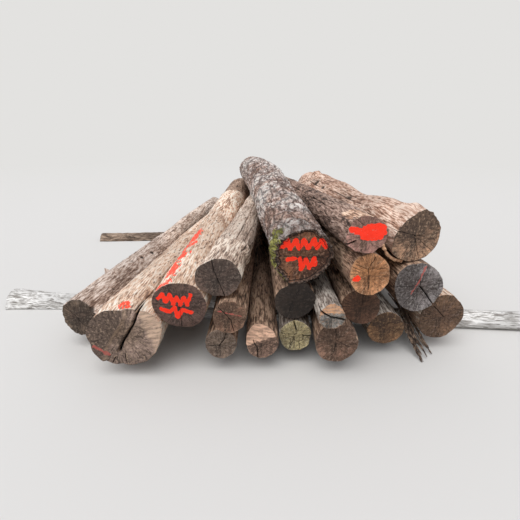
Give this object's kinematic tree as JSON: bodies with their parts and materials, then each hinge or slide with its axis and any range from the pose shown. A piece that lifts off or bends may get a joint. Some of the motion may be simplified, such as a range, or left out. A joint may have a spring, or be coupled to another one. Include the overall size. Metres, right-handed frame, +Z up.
{
  "type": "heap of logs",
  "caption": "Heap of crooked, tapering felled logs with sawn and cracked front ends, stacked front to back on two split-pole bearers with loose bark.",
  "frame": {"origin": "middle of the heap's bounding box in plan, on the ground", "axes": "+X to the right across the sawn front ends, +Y from the front ends to the rear along the logs, +Z up"},
  "size_m": [5.007, 5.6518, 1.2863],
  "materials": {
    "debarked_log": "matte, dry",
    "grey_weathered_log": "matte, weathered",
    "bark_covered_log": "matte, furrowed",
    "weathered_pole_wood": "matte, weathered",
    "loose_bark": "matte, fibrous"
  },
  "bodies": {
    "root": {"bark_slab": "loose_bark", "barked_top_log": "bark_covered_log", "big_left_log": "debarked_log", "brown_floor_log": "debarked_log", "brown_ring_log": "debarked_log", "bulged_log": "debarked_log", "crooked_top_log": "debarked_log", "dark_middle_log": "grey_weathered_log", "dark_right_log": "debarked_log", "far_left_log": "debarked_log", "far_right_log": "debarked_log", "front_bearer": "weathered_pole_wood", "grey_floor_log": "grey_weathered_log", "left_cradled_log": "debarked_log", "left_floor_log": "debarked_log", "left_middle_log": "debarked_log", "long_bark_strip": "loose_bark", "notched_floor_log": "debarked_log", "orange_log": "debarked_log", "rear_bearer": "weathered_pole_wood", "ring_shake_log": "debarked_log", "scribbled_log": "bark_covered_log", "short_bark_strip": "loose_bark", "split_grey_log": "grey_weathered_log", "thin_pole": "weathered_pole_wood"}
  },
  "joints": []
}
